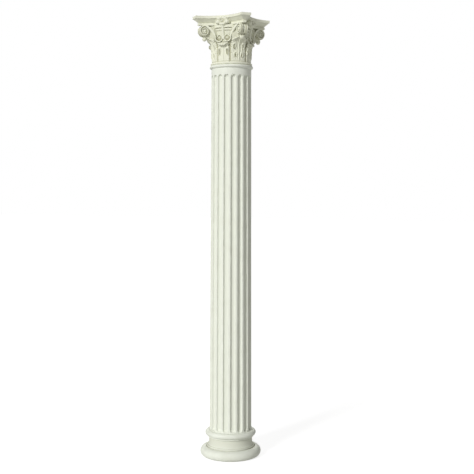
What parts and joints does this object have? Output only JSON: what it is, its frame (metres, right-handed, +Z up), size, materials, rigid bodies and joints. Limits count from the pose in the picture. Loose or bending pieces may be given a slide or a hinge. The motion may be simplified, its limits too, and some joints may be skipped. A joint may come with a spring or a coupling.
{
  "type": "corinthian column",
  "caption": "Slender fluted column with a round moulded base and a leafy scrolled capital under a concave-sided slab, in three stacked castings.",
  "frame": {"origin": "middle of the underside of the base, on the floor", "axes": "+Z up the column; the capital's four sides face +X, -X, +Y and -Y, and a plain strip between two flutes faces -Y"},
  "size_m": [0.344, 0.344, 2.4],
  "materials": {
    "cast_base": "matte",
    "cast_shaft": "matte",
    "cast_capital": "matte"
  },
  "bodies": {
    "root": {"base": "cast_base", "shaft": "cast_shaft", "capital": "cast_capital"}
  },
  "joints": []
}
